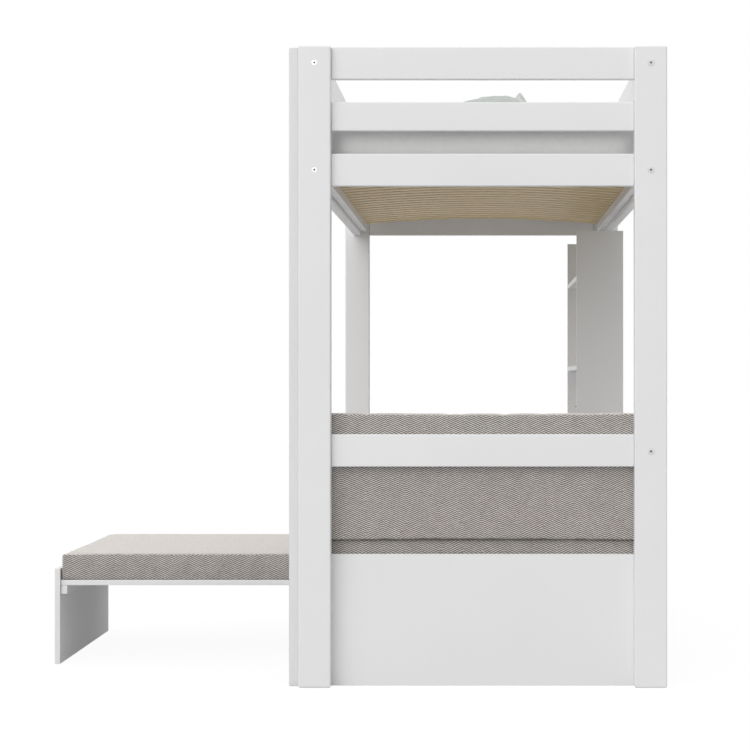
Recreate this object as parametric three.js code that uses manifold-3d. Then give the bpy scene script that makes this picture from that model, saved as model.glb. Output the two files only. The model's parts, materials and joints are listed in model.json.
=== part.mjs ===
// Loft bed with a lounge below it, a bench that pulls out of the lounge, a ladder and a bookcase.
// Millimetres, +Z up. X runs across the bed, with the ladder and the bench at -X and the wall at +X.
// Y runs along the bed, with the near end at -Y. The origin is on the floor, under the middle of the
// whole object with its bench pulled out.

import * as THREE from 'three';
import { mergeVertices } from 'three/addons/utils/BufferGeometryUtils.js';
import Module from 'manifold-3d';

const wasm = await Module();
wasm.setup();

// Sleeping place, inside the rails
const sleepingLength = 2000;
const sleepingWidth = 902;
const mattressThickness = 118.7;
const mattressPlay = 1;

// Posts and rails
const bedHeight = 1774;
const postWidth = 90;
const postDepth = 45;
const postEdge = 4;
const postEndChamfer = 3.5;
const railHeight = 90;
const railEdge = 3;
const endRailThickness = 25;
const sideRailThickness = 28;
const guardHeight = 80;
const railSpacing = 63;
const lowerRailTop = 700;

// Clearance between pieces that are screwed or pushed together
const fitGap = 0.3;

// Slatted base
const ledgerWidth = 23;
const ledgerHeight = 35;
const ledgerRise = 13;
const ledgerEndGap = 20;
const ledgerEdge = 2;
const slatCount = 22;
const slatWidth = 53;
const slatThickness = 8;
const slatCamber = 21;
const slatHousing = 10;
const slatBearing = 12;
const slatEdge = 2.5;
const slatArcSteps = 5;

// Ladder
const ladderSetback = 33;
const ladderBayGap = 7;
const stileWidth = 60;
const stileThickness = 28;
const stileEdge = 5;
const rungCount = 5;
const rungHeight = 60;
const rungThickness = 24;
const rungEdge = 7;
const firstRungHeight = 250;
const lastRungDrop = 98;
const blockHeight = 70;

// Panels of the lounge and the bookcase
const panelThickness = 16;
const panelEdge = 1;
const loungePlay = 1;
const loungePanelLip = 18;
const seatBoardTop = 348;
const bayFromNearEnd = 477;
const bayWidth = 818;

// Runners and stop of the bench
const runnerWidth = 25;
const runnerHeight = 25;
const runnerSetback = 25;
const runnerEndGap = 5;
const battenWidth = 20;
const battenHeight = 26;
const battenPlay = 5;
const battenEdge = 2;

// Pull-out bench
const benchEndPlay = 2;
const benchSidePlay = 9;
const benchHeadroom = 5;
const benchLegLip = 35;
const benchLegPlay = 1;
const benchCushionThickness = 76;
const benchCushionGap = 3;

// Cushions and bedding
const cushionPlay = 2;
const cushionRadius = 9;
const cushionDrawIn = 4;
const seatCushionThickness = 57.5;
const seatCushionCrown = 5;
const benchCushionCrown = 7;
const backCushionHeight = 353;
const backCushionThickness = 110;
const backCushionCrown = 12;
const mattressRadius = 14;
const mattressCrown = 5;
const pillowWidth = 420;
const pillowLength = 400;
const pillowThickness = 98;
const pillowCrown = 54;
const pillowRadius = 20;
const pillowDrawIn = 26;
const pillowFromEnd = 40;
const pillowOffCentre = 45;

// Bookcase
const bookcaseDepth = 158;
const bookcaseDrop = 34;
const shelfCount = 4;
const topShelfDrop = 151;
const lowestShelfTop = 285;
const shelfSetback = 1;

// Roundness of edges: two facets a step in each quarter turn, and the end chamfer against the edge
const edgeSteps = 1;
const endChamferShare = 0.5;

// Planes that the dimensions above give
const bedLength = sleepingLength + 2 * postDepth;
const nearEnd = -bedLength / 2;
const farEnd = bedLength / 2;
const railsFrom = nearEnd + postDepth;
const railsTo = farEnd - postDepth;
const railInner = sleepingWidth / 2;
const railOuter = railInner + sideRailThickness;
const postCentre = (railInner + railOuter) / 2;
const postInner = postCentre - postWidth / 2;
const postOuter = postCentre + postWidth / 2;
const topRailBottom = bedHeight - railHeight;
const guardTop = topRailBottom - railSpacing;
const bedRailTop = guardTop - guardHeight - railSpacing;
const bedRailBottom = bedRailTop - railHeight;
const lowerRailBottom = lowerRailTop - railHeight;
const topRailMiddle = bedHeight - railHeight / 2;
const bedRailMiddle = bedRailTop - railHeight / 2;

const ledgerBottom = bedRailBottom + ledgerRise;
const ledgerTop = ledgerBottom + ledgerHeight;
const slatEndBottom = ledgerTop - slatHousing;
const slatCrownTop = slatEndBottom + slatCamber + slatThickness;

const loungeWidth = sleepingWidth - 2 * loungePlay;
const loungeSide = loungeWidth / 2;
const loungePanelHeight = seatBoardTop + loungePanelLip;
const seatBoardBottom = seatBoardTop - panelThickness;
const dividerTop = seatBoardBottom - fitGap;
const bayFrom = nearEnd + bayFromNearEnd;
const bayTo = bayFrom + bayWidth;
const nearPanelTo = railsFrom + fitGap + panelThickness;
const farPanelFrom = railsTo - fitGap - panelThickness;
const nearDividerMiddle = bayFrom - panelThickness / 2;
const farDividerMiddle = bayTo + panelThickness / 2;

const stileInner = -postOuter - fitGap;
const stileOuter = stileInner - stileThickness;
const ladderFrom = nearEnd + ladderSetback;
const ladderTo = bayFrom - ladderBayGap;
const lastRungHeight = bedRailBottom - lastRungDrop;
const rungPitch = (lastRungHeight - firstRungHeight) / (rungCount - 1);

const bookcaseFront = railOuter - bookcaseDepth;
const bookcaseFrom = bayTo + panelThickness + fitGap;
const bookcaseTo = railsTo - fitGap;
const bookcaseHeight = bedRailBottom - bookcaseDrop;
const shelfPitch = (bookcaseHeight - topShelfDrop - lowestShelfTop) / (shelfCount - 1);

const benchBoardLength = loungeWidth - benchEndPlay;
const benchBoardWidth = bayWidth - 2 * benchSidePlay;
const benchBoardTop = seatBoardBottom - benchHeadroom - benchCushionThickness;
const benchLegHeight = benchBoardTop + benchLegLip;
const benchBoardBottom = benchBoardTop - panelThickness;
const runnerTop = benchBoardBottom - fitGap;
const runnerFrom = -loungeSide + runnerSetback;
const bayMiddle = (bayFrom + bayTo) / 2;
const benchFrom = bayMiddle - benchBoardWidth / 2;
const benchTo = bayMiddle + benchBoardWidth / 2;
const runnerInner = runnerWidth + fitGap;
const stopRailFrom = runnerFrom + battenWidth;
const stopRailTo = stopRailFrom + battenWidth;
const benchBoardEnd = stopRailTo + fitGap + battenWidth;
const benchBoardStart = benchBoardEnd - benchBoardLength;
const benchLegInner = benchBoardStart - fitGap;
const benchLegOuter = benchLegInner - panelThickness;

// The bed is centred on its own middle plane, and the whole object on the origin
const objectMiddle = (benchLegOuter + postOuter) / 2;

const whiteLacquer = { color: 0xf1f1f0, roughness: 0.42, metalness: 0 };
const whitePanel = { color: 0xeeeeee, roughness: 0.5, metalness: 0 };
const birch = { color: 0xd9c4a0, roughness: 0.55, metalness: 0 };
const greyHerringbone = { color: 0x9b958f, roughness: 0.95, metalness: 0 };
const whiteTicking = { color: 0xe8e6e2, roughness: 0.95, metalness: 0 };
const paleCotton = { color: 0xcdd2cb, roughness: 0.95, metalness: 0 };

const bed = new THREE.Group();
const lounge = new THREE.Group();
const bench = new THREE.Group();
const bookcase = new THREE.Group();

function addPiece(group, name, geometry, finish) {
  const piece = new THREE.Mesh(geometry, new THREE.MeshStandardMaterial(finish));
  piece.name = name;
  group.add(piece);
  return piece;
}

// A rectangle with its four corners rounded, centred on its own origin
function roundedRectangle(width, height, radius) {
  const right = width / 2;
  const top = height / 2;
  const shape = new THREE.Shape();
  shape.moveTo(-right + radius, -top);
  shape.lineTo(right - radius, -top);
  shape.absarc(right - radius, -top + radius, radius, -Math.PI / 2, 0);
  shape.lineTo(right, top - radius);
  shape.absarc(right - radius, top - radius, radius, 0, Math.PI / 2);
  shape.lineTo(-right + radius, top);
  shape.absarc(-right + radius, top - radius, radius, Math.PI / 2, Math.PI);
  shape.lineTo(-right, -top + radius);
  shape.absarc(-right + radius, -top + radius, radius, Math.PI, Math.PI * 1.5);
  return shape;
}

// An outline pushed along its own +Z by a length, with both ends chamfered, centred on its middle
function extruded(shape, length, chamfer, curveSegments = edgeSteps) {
  const geometry = new THREE.ExtrudeGeometry(shape, {
    depth: length - 2 * chamfer,
    bevelEnabled: true,
    bevelThickness: chamfer,
    bevelSize: chamfer,
    bevelOffset: -chamfer,
    bevelSegments: 1,
    curveSegments,
  });
  geometry.translate(0, 0, chamfer - length / 2);
  return geometry;
}

// Turns a form so that its local Z runs along the given axis, 0 for X, 1 for Y and 2 for Z
function turnedTo(axis, geometry) {
  const units = [new THREE.Vector3(1, 0, 0), new THREE.Vector3(0, 1, 0), new THREE.Vector3(0, 0, 1)];
  const turn = new THREE.Matrix4();
  turn.makeBasis(units[(axis + 1) % 3], units[(axis + 2) % 3], units[axis]);
  return geometry.applyMatrix4(turn);
}

// A board with rounded long edges, between two planes along each axis
function addBoard(group, name, spans, finish, edge, endChamfer = edge * endChamferShare) {
  const sizes = spans.map(([from, to]) => to - from);
  const middles = spans.map(([from, to]) => (from + to) / 2);
  const grain = sizes.indexOf(Math.max(...sizes));
  const across = sizes[(grain + 1) % 3];
  const through = sizes[(grain + 2) % 3];
  const outline = roundedRectangle(across, through, edge);
  const form = extruded(outline, sizes[grain], endChamfer);
  const board = addPiece(group, name, turnedTo(grain, form), finish);
  board.position.set(...middles);
  return board;
}

// A span of a given size around a middle
function around(middle, size) {
  return [middle - size / 2, middle + size / 2];
}

function addPosts() {
  const ends = { near: [nearEnd, railsFrom], far: [railsTo, farEnd] };
  const sides = { left: -postCentre, right: postCentre };
  for (const [end, endSpan] of Object.entries(ends)) {
    for (const [side, middle] of Object.entries(sides)) {
      const spans = [around(middle, postWidth), endSpan, [0, bedHeight]];
      addBoard(bed, `post_${end}_${side}`, spans, whiteLacquer, postEdge, postEndChamfer);
    }
  }
}

// Four rails across each end, flush with the inner faces of the posts
function addEndRails() {
  const heights = {
    top: [topRailBottom, bedHeight],
    guard: [guardTop - guardHeight, guardTop],
    bed: [bedRailBottom, bedRailTop],
    lower: [lowerRailBottom, lowerRailTop],
  };
  const ends = {
    near: [railsFrom - endRailThickness, railsFrom],
    far: [railsTo, railsTo + endRailThickness],
  };
  const across = [-postInner + fitGap, postInner - fitGap];
  for (const [end, endSpan] of Object.entries(ends)) {
    for (const [level, height] of Object.entries(heights)) {
      addBoard(bed, `${end}_end_rail_${level}`, [across, endSpan, height], whiteLacquer, railEdge);
    }
  }
}

function addSideRails() {
  const along = [railsFrom + fitGap, railsTo - fitGap];
  const left = [-railOuter, -railInner];
  const right = [railInner, railOuter];
  const bedLevel = [bedRailBottom, bedRailTop];
  const topLevel = [topRailBottom, bedHeight];
  const lowerLevel = [lowerRailBottom, lowerRailTop];
  const stub = [railsFrom + fitGap, ladderFrom + stileWidth];
  const front = [ladderTo - stileWidth, railsTo - fitGap];
  addBoard(bed, 'side_rail_left', [left, along, bedLevel], whiteLacquer, railEdge);
  addBoard(bed, 'side_rail_right', [right, along, bedLevel], whiteLacquer, railEdge);
  addBoard(bed, 'guard_rail_back', [right, along, topLevel], whiteLacquer, railEdge);
  addBoard(bed, 'guard_rail_front', [left, front, topLevel], whiteLacquer, railEdge);
  addBoard(bed, 'guard_rail_stub', [left, stub, topLevel], whiteLacquer, railEdge);
  addBoard(bed, 'back_rail_lower', [right, along, lowerLevel], whiteLacquer, railEdge);
}

// A closed mesh as a solid that can be joined with others
function toSolid(geometry) {
  const bare = geometry.clone();
  bare.deleteAttribute('normal');
  bare.deleteAttribute('uv');
  const merged = mergeVertices(bare);
  const mesh = new wasm.Mesh({
    numProp: 3,
    vertProperties: new Float32Array(merged.attributes.position.array),
    triVerts: new Uint32Array(merged.index.array),
  });
  return new wasm.Manifold(mesh);
}

function fromSolid(solid) {
  const mesh = solid.getMesh();
  const geometry = new THREE.BufferGeometry();
  geometry.setAttribute('position', new THREE.BufferAttribute(new Float32Array(mesh.vertProperties), 3));
  geometry.setIndex(new THREE.BufferAttribute(new Uint32Array(mesh.triVerts), 1));
  geometry.computeVertexNormals();
  return geometry;
}

// A sprung slat across the bed: a bent strip that rises from both ends to its middle
function slatGeometry() {
  const halfSpan = railInner - slatBearing;
  const radius = (halfSpan ** 2 + slatCamber ** 2) / (2 * slatCamber);
  const sweep = Math.asin(halfSpan / radius);
  const centre = slatEndBottom + slatCamber - radius;
  const shape = new THREE.Shape();
  shape.absarc(0, centre, radius, Math.PI / 2 - sweep, Math.PI / 2 + sweep);
  shape.absarc(0, centre, radius + slatThickness, Math.PI / 2 + sweep, Math.PI / 2 - sweep, true);
  const geometry = extruded(shape, slatWidth, slatEdge, slatArcSteps);
  return geometry.rotateX(Math.PI / 2);
}

// The slats are housed in two ledgers that are screwed to the side rails
function addSlattedBase() {
  const from = railsFrom + ledgerEndGap;
  const length = sleepingLength - 2 * ledgerEndGap;
  let base = null;
  for (const side of [-1, 1]) {
    const outline = roundedRectangle(ledgerHeight, ledgerWidth, ledgerEdge);
    const ledger = turnedTo(1, extruded(outline, length, ledgerEdge * endChamferShare));
    const middle = side * (railInner - fitGap - ledgerWidth / 2);
    ledger.translate(middle, from + length / 2, (ledgerBottom + ledgerTop) / 2);
    const solid = toSolid(ledger);
    base = base ? base.add(solid) : solid;
  }
  const pitch = length / slatCount;
  for (let index = 0; index < slatCount; index += 1) {
    const slat = slatGeometry();
    slat.translate(0, from + pitch * (index + 0.5), 0);
    base = base.add(toSolid(slat));
  }
  addPiece(bed, 'slatted_base', fromSolid(base), birch);
}

function addLadder() {
  const thickness = [stileOuter, stileInner];
  const stiles = {
    near: [ladderFrom, ladderFrom + stileWidth],
    far: [ladderTo - stileWidth, ladderTo],
  };
  for (const [end, along] of Object.entries(stiles)) {
    addBoard(bed, `ladder_stile_${end}`, [thickness, along, [0, bedHeight]], whiteLacquer, stileEdge);
  }
  const rungSpan = [stiles.near[1] + fitGap, stiles.far[0] - fitGap];
  const rungDepth = around((stileInner + stileOuter) / 2, rungThickness);
  for (let index = 0; index < rungCount; index += 1) {
    const height = around(firstRungHeight + index * rungPitch, rungHeight);
    addBoard(bed, `ladder_rung_${index + 1}`, [rungDepth, rungSpan, height], whiteLacquer, rungEdge);
  }
}

// Blocks that fill the space between the ladder and the side and guard rails
function addLadderBlocks() {
  const depth = [stileInner + fitGap, -railOuter - fitGap];
  const ends = {
    near: [railsFrom + fitGap, ladderFrom + stileWidth],
    far: [ladderTo - stileWidth, ladderTo],
  };
  const levels = { lower: bedRailMiddle, upper: topRailMiddle };
  for (const [end, along] of Object.entries(ends)) {
    for (const [level, middle] of Object.entries(levels)) {
      const spans = [depth, along, around(middle, blockHeight)];
      addBoard(bed, `ladder_block_${end}_${level}`, spans, whiteLacquer, railEdge);
    }
  }
}

function addLoungePanels() {
  const whole = [-loungeSide, loungeSide];
  const besideBookcase = [-loungeSide, bookcaseFront - fitGap];
  const toPanelTop = [0, loungePanelHeight];
  const toSeat = [0, dividerTop];
  const nearPanel = [railsFrom + fitGap, nearPanelTo];
  const farPanel = [farPanelFrom, railsTo - fitGap];
  const nearDivider = [bayFrom - panelThickness, bayFrom];
  const farDivider = [bayTo, bayTo + panelThickness];
  addBoard(lounge, 'lounge_panel_near', [whole, nearPanel, toPanelTop], whitePanel, panelEdge);
  addBoard(lounge, 'lounge_panel_far', [besideBookcase, farPanel, toPanelTop], whitePanel, panelEdge);
  addBoard(lounge, 'divider_near', [whole, nearDivider, toSeat], whitePanel, panelEdge);
  addBoard(lounge, 'divider_far', [whole, farDivider, toSeat], whitePanel, panelEdge);
}

// Three lids make the seat, and meet on the middles of the two dividers
function addSeatBoards() {
  const whole = [-loungeSide, loungeSide];
  const besideBookcase = [-loungeSide, bookcaseFront - fitGap];
  const level = [seatBoardBottom, seatBoardTop];
  const near = [nearPanelTo + fitGap, nearDividerMiddle - fitGap / 2];
  const middle = [nearDividerMiddle + fitGap / 2, farDividerMiddle - fitGap / 2];
  const far = [farDividerMiddle + fitGap / 2, farPanelFrom - fitGap];
  addBoard(lounge, 'seat_board_near', [whole, near, level], whitePanel, panelEdge);
  addBoard(lounge, 'seat_board_middle', [whole, middle, level], whitePanel, panelEdge);
  addBoard(lounge, 'seat_board_far', [besideBookcase, far, level], whitePanel, panelEdge);
}

// Two runners carry the bench board, and a rail between them stops it at its full length
function addRunners() {
  const along = [runnerFrom, loungeSide - runnerEndGap];
  const level = [runnerTop - runnerHeight, runnerTop];
  const near = [bayFrom + fitGap, bayFrom + runnerInner];
  const far = [bayTo - runnerInner, bayTo - fitGap];
  const between = [bayFrom + runnerInner + fitGap, bayTo - runnerInner - fitGap];
  addBoard(lounge, 'bench_runner_near', [along, near, level], whitePanel, battenEdge);
  addBoard(lounge, 'bench_runner_far', [along, far, level], whitePanel, battenEdge);
  addBoard(lounge, 'bench_stop_rail', [[stopRailFrom, stopRailTo], between, level], whitePanel, battenEdge);
}

function addBench() {
  const along = [benchFrom, benchTo];
  const underBoard = [benchBoardBottom - fitGap - battenHeight, benchBoardBottom - fitGap];
  const inset = runnerInner + battenPlay;
  const cleat = [benchBoardStart, benchBoardStart + battenWidth];
  const batten = [benchBoardEnd - battenWidth, benchBoardEnd];
  const boardSpans = [[benchBoardStart, benchBoardEnd], along, [benchBoardBottom, benchBoardTop]];
  const legAlong = [bayFrom + benchLegPlay, bayTo - benchLegPlay];
  const legSpans = [[benchLegOuter, benchLegInner], legAlong, [0, benchLegHeight]];
  const battenAlong = [bayFrom + inset, bayTo - inset];
  addBoard(bench, 'bench_board', boardSpans, whitePanel, panelEdge);
  addBoard(bench, 'bench_leg_panel', legSpans, whitePanel, panelEdge);
  addBoard(bench, 'bench_cleat', [cleat, along, underBoard], whitePanel, battenEdge);
  addBoard(bench, 'bench_stop_batten', [batten, battenAlong, underBoard], whitePanel, battenEdge);
}

// How much of a soft form's crown stands at a place, as shares of its half width and half length
function crownShare(across, along) {
  return (1 - across ** 2) * (1 - along ** 2);
}

// Places along one side of a soft form: close together round both edges, even between them
function stations(half, radius, steps) {
  const roundShares = [0, 0.35, 1];
  const inner = half - radius;
  const places = roundShares.map((share) => -half + share * radius);
  for (let step = 1; step < steps; step += 1) {
    places.push(-inner + (2 * inner * step) / steps);
  }
  return places.concat(roundShares.map((share) => half - share * radius).reverse());
}

// A cushion on its flat underside: rounded all round, crowned above, and with its four sides drawn
// in between the corners
function cushionGeometry({ width, length, thickness, crown, drawIn, radius, steps }) {
  const body = thickness - crown;
  const halves = [width / 2, length / 2, body / 2];
  const places = halves.map((half, axis) => stations(half, radius, steps[axis]));
  const segments = places.map((list) => list.length - 1);
  const geometry = new THREE.BoxGeometry(1, 1, 1, ...segments);
  geometry.deleteAttribute('normal');
  geometry.deleteAttribute('uv');
  const form = mergeVertices(geometry);
  const position = form.attributes.position;
  for (let index = 0; index < position.count; index += 1) {
    const unit = [position.getX(index), position.getY(index), position.getZ(index)];
    const flat = unit.map((value, axis) => places[axis][Math.round((value + 0.5) * segments[axis])]);
    const core = flat.map((value, axis) => {
      const limit = halves[axis] - radius;
      return Math.min(limit, Math.max(-limit, value));
    });
    const offset = new THREE.Vector3(...flat.map((value, axis) => value - core[axis])).setLength(radius);
    const point = new THREE.Vector3(...core).add(offset);
    const across = flat[0] / halves[0];
    const along = flat[1] / halves[1];
    const rise = (point.z + halves[2]) / body;
    point.x -= drawIn * (1 - along ** 2) * across;
    point.y -= drawIn * (1 - across ** 2) * along;
    point.z += halves[2] + crown * rise * crownShare(across, along);
    position.setXYZ(index, ...point);
  }
  form.computeVertexNormals();
  return form;
}

function addSeatCushion(name, across, along) {
  const form = cushionGeometry({
    width: across[1] - across[0],
    length: along[1] - along[0],
    thickness: seatCushionThickness,
    crown: seatCushionCrown,
    drawIn: cushionDrawIn,
    radius: cushionRadius,
    steps: [7, 7, 1],
  });
  const cushion = addPiece(lounge, name, form, greyHerringbone);
  const middleX = (across[0] + across[1]) / 2;
  const middleY = (along[0] + along[1]) / 2;
  cushion.position.set(middleX, middleY, seatBoardTop + fitGap);
}

function addLoungeCushions() {
  const whole = [-loungeSide + cushionPlay, loungeSide - cushionPlay];
  const besideBookcase = [-loungeSide + cushionPlay, bookcaseFront - cushionPlay];
  const near = [nearPanelTo + cushionPlay, nearDividerMiddle - cushionPlay / 2];
  const middle = [nearDividerMiddle + cushionPlay / 2, farDividerMiddle - cushionPlay / 2];
  const far = [farDividerMiddle + cushionPlay / 2, farPanelFrom - cushionPlay];
  addSeatCushion('seat_cushion_near', whole, near);
  addSeatCushion('seat_cushion_middle', whole, middle);
  addSeatCushion('seat_cushion_far', besideBookcase, far);
}

// The back cushion stands on the near seat cushion and leans on the lower rail of the near end
function addBackCushion() {
  const back = railsFrom + fitGap;
  const seatHalf = (nearDividerMiddle - nearPanelTo) / 2;
  const seatMiddle = (nearDividerMiddle + nearPanelTo) / 2;
  const reach = (back + backCushionThickness - seatMiddle) / seatHalf;
  const seatBody = seatCushionThickness - seatCushionCrown;
  const seatTop = seatBoardTop + fitGap + seatBody + seatCushionCrown * crownShare(0, reach);
  const form = cushionGeometry({
    width: loungeWidth - 2 * cushionPlay,
    length: backCushionHeight,
    thickness: backCushionThickness,
    crown: backCushionCrown,
    drawIn: cushionDrawIn,
    radius: cushionRadius,
    steps: [7, 5, 1],
  });
  form.rotateX(-Math.PI / 2);
  const cushion = addPiece(lounge, 'back_cushion', form, greyHerringbone);
  cushion.position.set(0, back, seatTop + fitGap + backCushionHeight / 2);
}

function addBenchCushion() {
  const from = benchBoardStart + benchCushionGap;
  const form = cushionGeometry({
    width: benchBoardEnd - from,
    length: benchBoardWidth,
    thickness: benchCushionThickness,
    crown: benchCushionCrown,
    drawIn: cushionDrawIn,
    radius: cushionRadius,
    steps: [7, 7, 1],
  });
  const cushion = addPiece(bench, 'bench_cushion', form, greyHerringbone);
  cushion.position.set((from + benchBoardEnd) / 2, bayMiddle, benchBoardTop + fitGap);
}

function addBedding() {
  const mattressForm = cushionGeometry({
    width: sleepingWidth - 2 * mattressPlay,
    length: sleepingLength - 2 * mattressPlay,
    thickness: mattressThickness,
    crown: mattressCrown,
    drawIn: 0,
    radius: mattressRadius,
    steps: [5, 8, 1],
  });
  const mattress = addPiece(bed, 'mattress', mattressForm, whiteTicking);
  mattress.position.set(0, 0, slatCrownTop + fitGap);

  const pillowForm = cushionGeometry({
    width: pillowWidth,
    length: pillowLength,
    thickness: pillowThickness,
    crown: pillowCrown,
    drawIn: pillowDrawIn,
    radius: pillowRadius,
    steps: [8, 8, 1],
  });
  const pillow = addPiece(bed, 'pillow', pillowForm, paleCotton);
  const pillowMiddle = railsFrom + pillowFromEnd + pillowLength / 2;
  const reach = (pillowMiddle + pillowLength / 2) / (sleepingLength / 2);
  const mattressBody = mattressThickness - mattressCrown;
  const mattressTop = slatCrownTop + fitGap + mattressBody + mattressCrown * crownShare(0, reach);
  pillow.position.set(pillowOffCentre, pillowMiddle, mattressTop + fitGap);
}

// An end panel of the bookcase: its back edge is notched round the lower back rail
function bookcasePanelShape() {
  const notchFront = railInner - fitGap;
  const shape = new THREE.Shape();
  shape.moveTo(0, bookcaseFront);
  shape.lineTo(bookcaseHeight, bookcaseFront);
  shape.lineTo(bookcaseHeight, railOuter);
  shape.lineTo(lowerRailTop + fitGap, railOuter);
  shape.lineTo(lowerRailTop + fitGap, notchFront);
  shape.lineTo(lowerRailBottom - fitGap, notchFront);
  shape.lineTo(lowerRailBottom - fitGap, railOuter);
  shape.lineTo(0, railOuter);
  return shape;
}

// The shelves run between the end panels and stop in front of the back rail's plane
function addBookcase() {
  const middles = {
    near: bookcaseFrom + panelThickness / 2,
    far: bookcaseTo - panelThickness / 2,
  };
  for (const [end, middle] of Object.entries(middles)) {
    const chamfer = panelEdge * endChamferShare;
    const form = turnedTo(1, extruded(bookcasePanelShape(), panelThickness, chamfer));
    const panel = addPiece(bookcase, `bookcase_panel_${end}`, form, whitePanel);
    panel.position.y = middle;
  }
  const across = [bookcaseFront + shelfSetback, railInner - fitGap];
  const along = [bookcaseFrom + panelThickness + fitGap, bookcaseTo - panelThickness - fitGap];
  for (let index = 0; index < shelfCount; index += 1) {
    const top = bookcaseHeight - topShelfDrop - index * shelfPitch;
    const spans = [across, along, [top - panelThickness, top]];
    addBoard(bookcase, `bookcase_shelf_${index + 1}`, spans, whitePanel, panelEdge);
  }
}

addPosts();
addEndRails();
addSideRails();
addSlattedBase();
addLadder();
addLadderBlocks();
addBedding();
addLoungePanels();
addSeatBoards();
addRunners();
addLoungeCushions();
addBackCushion();
addBench();
addBenchCushion();
addBookcase();

const loftBed = new THREE.Group();
loftBed.add(bed, lounge, bench, bookcase);
loftBed.position.x = -objectMiddle;

export default loftBed;
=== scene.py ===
# Looks of a loft bed with a lounge below it, a pull-out bench, a ladder and a bookcase.
# Metres, +Z up. +Y runs along the bed away from its near end, and +X across it towards the wall.
# Every place is worked out from the boxes of the frame's nodes and from the named sizes below.

import json
import math

import bpy
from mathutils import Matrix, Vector, noise


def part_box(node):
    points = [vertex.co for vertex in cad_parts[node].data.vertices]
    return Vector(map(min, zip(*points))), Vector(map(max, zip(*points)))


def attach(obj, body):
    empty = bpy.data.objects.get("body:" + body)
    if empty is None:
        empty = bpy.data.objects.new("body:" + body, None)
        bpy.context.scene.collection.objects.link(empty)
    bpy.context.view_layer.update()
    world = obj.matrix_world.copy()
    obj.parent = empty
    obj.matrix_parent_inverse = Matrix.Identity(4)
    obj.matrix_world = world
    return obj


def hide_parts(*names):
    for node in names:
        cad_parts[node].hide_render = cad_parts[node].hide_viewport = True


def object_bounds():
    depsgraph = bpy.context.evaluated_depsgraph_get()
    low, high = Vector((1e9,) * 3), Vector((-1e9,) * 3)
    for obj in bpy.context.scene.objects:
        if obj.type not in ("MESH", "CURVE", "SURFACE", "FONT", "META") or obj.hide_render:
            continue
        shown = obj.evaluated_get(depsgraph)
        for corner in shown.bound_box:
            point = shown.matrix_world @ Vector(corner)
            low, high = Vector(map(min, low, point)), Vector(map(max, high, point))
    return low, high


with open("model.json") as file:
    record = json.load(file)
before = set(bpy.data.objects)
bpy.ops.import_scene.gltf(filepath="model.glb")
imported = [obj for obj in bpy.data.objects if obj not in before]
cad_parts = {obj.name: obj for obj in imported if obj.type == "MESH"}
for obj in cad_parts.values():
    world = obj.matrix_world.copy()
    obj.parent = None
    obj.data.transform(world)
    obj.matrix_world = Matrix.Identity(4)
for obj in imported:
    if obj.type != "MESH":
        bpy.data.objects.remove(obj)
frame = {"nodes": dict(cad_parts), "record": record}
cad_low, cad_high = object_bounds()

# Axes
X, Y, Z = 0, 1, 2

# Camera, level with the middle of the bed and looking along it
camera_place = (0.3739, -6.812, 0.8617)
camera_lens = 100.22
camera_sensor = 36.0
camera_shift = (-0.1384, 0.0013)
camera_reach = 200.0

# Light and floor
dome_horizon = 0.42
dome_zenith = 2.3
dome_power = 6.0
dome_side = 0.5
key_strength = 1.37
key_azimuth = math.radians(28)
key_elevation = math.radians(29)
key_spread = math.radians(60)
floor_reach = 60.0
floor_drop = 0.0005
floor_colour = (0.4, 0.4, 0.4, 1.0)
floor_glow = 1.11
floor_glow_share = 0.85
floor_roughness = 0.9

# Boards
weld_distance = 0.00001
sharp_angle = math.radians(50)
edge_face_share = 0.5
flat_face_share = 0.9
side_face_share = 0.7

# The part of a noise's range that is used, and the length under which a move counts as none
noise_shares = (0.3, 0.7)
tiny = 1e-9

# Finishes of the boards: sizes and depths of their texture, roughness between two values, refraction
lacquer_cloud = 0.43
lacquer_patch = 0.07
lacquer_grain = 0.0011
lacquer_depth = 0.00003
lacquer_roughness = (0.36, 0.46)
lacquer_refraction = 1.45
panel_cloud = 0.6
panel_patch = 0.017
panel_pebble = 0.0007
panel_depth = 0.00003
panel_roughness = (0.44, 0.52)
panel_refraction = 1.45
band_cloud = 0.033
band_patch = 0.0045
band_grain = 0.0014
band_depth = 0.00002
band_roughness = (0.3, 0.38)
band_refraction = 1.48

# Herringbone cloth: rows of floats, each row set off from the one below, and zones that turn the lean
weave_row = 0.00143
weave_float = 0.0128
weave_shift_share = 0.25
weave_light_share = 0.58
weave_zone = 0.055
weave_drift = 0.11
weave_wander = 0.007
weave_depth = 0.0003
weave_drift_size = 0.11
weave_fleck = 0.0024
weave_mottle = 0.042
weave_shown_shares = (0.05, 0.36)
weave_row_share = 0.4
weave_relief_share = 0.35
weave_roughness = 0.5
weave_refraction = 1.45
weave_bloom = 1.0
weave_bloom_roughness = 0.6

# Slats
slat_count = 22
slat_width = 0.053
slat_thickness = 0.008
slat_camber = 0.021
slat_bearing = 0.012
slat_edge = 0.002
slat_stations = 28
section_steps = 3
ledger_width = 0.023
ledger_height = 0.035
ledger_edge = 0.002

# Bent birch: layers of ply with glue lines between them, and the grain of the faces
ply_thickness = 0.0014
glue_share = 0.14
grain_length = 0.067
grain_width = 0.0028
grain_depth = 0.0001
grain_relief_share = 0.4
glue_shown_share = 0.5
birch_roughness = (0.42, 0.55)
birch_refraction = 1.5

# Cushions. The two tuples place a cover's rows across its rounded edges and its rounded corners
cushion_edge = 0.007
cushion_corner = 0.009
cushion_cell = 0.014
cushion_draw_in = 0.004
cushion_cap = 0.0035
seam_depth = 0.0016
seat_crown = 0.002
bench_crown = 0.0025
bench_rise = 0.003
back_crown = 0.009
crown_power = 0.4
edge_shares = (0.0, 0.2, 0.55, 1.0)
corner_shares = (0.25, 0.55, 1.0)

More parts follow.
